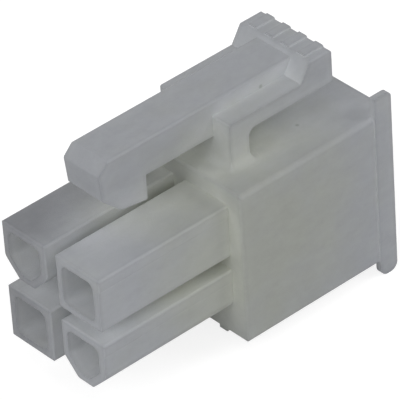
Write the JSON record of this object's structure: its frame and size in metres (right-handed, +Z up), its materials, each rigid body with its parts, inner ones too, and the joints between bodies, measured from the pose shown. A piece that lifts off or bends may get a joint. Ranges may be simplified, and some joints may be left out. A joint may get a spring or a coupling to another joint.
{
  "type": "wire to board receptacle housing",
  "caption": "Moulded natural nylon receptacle housing with keyed silos in a square grid, a hooked latch arm with a thumb pad, and thin ears at the wire face.",
  "frame": {"origin": "on the surface the housing stands on, under the middle of its bounding box", "axes": "+Y along the housing from the mating silos to the wire face, +Z up through the latch, +X across"},
  "size_m": [0.0098, 0.0198, 0.0144],
  "materials": {
    "natural_nylon": "satin, milky and slightly translucent"
  },
  "bodies": {
    "root": {"housing": "natural_nylon"}
  },
  "joints": []
}
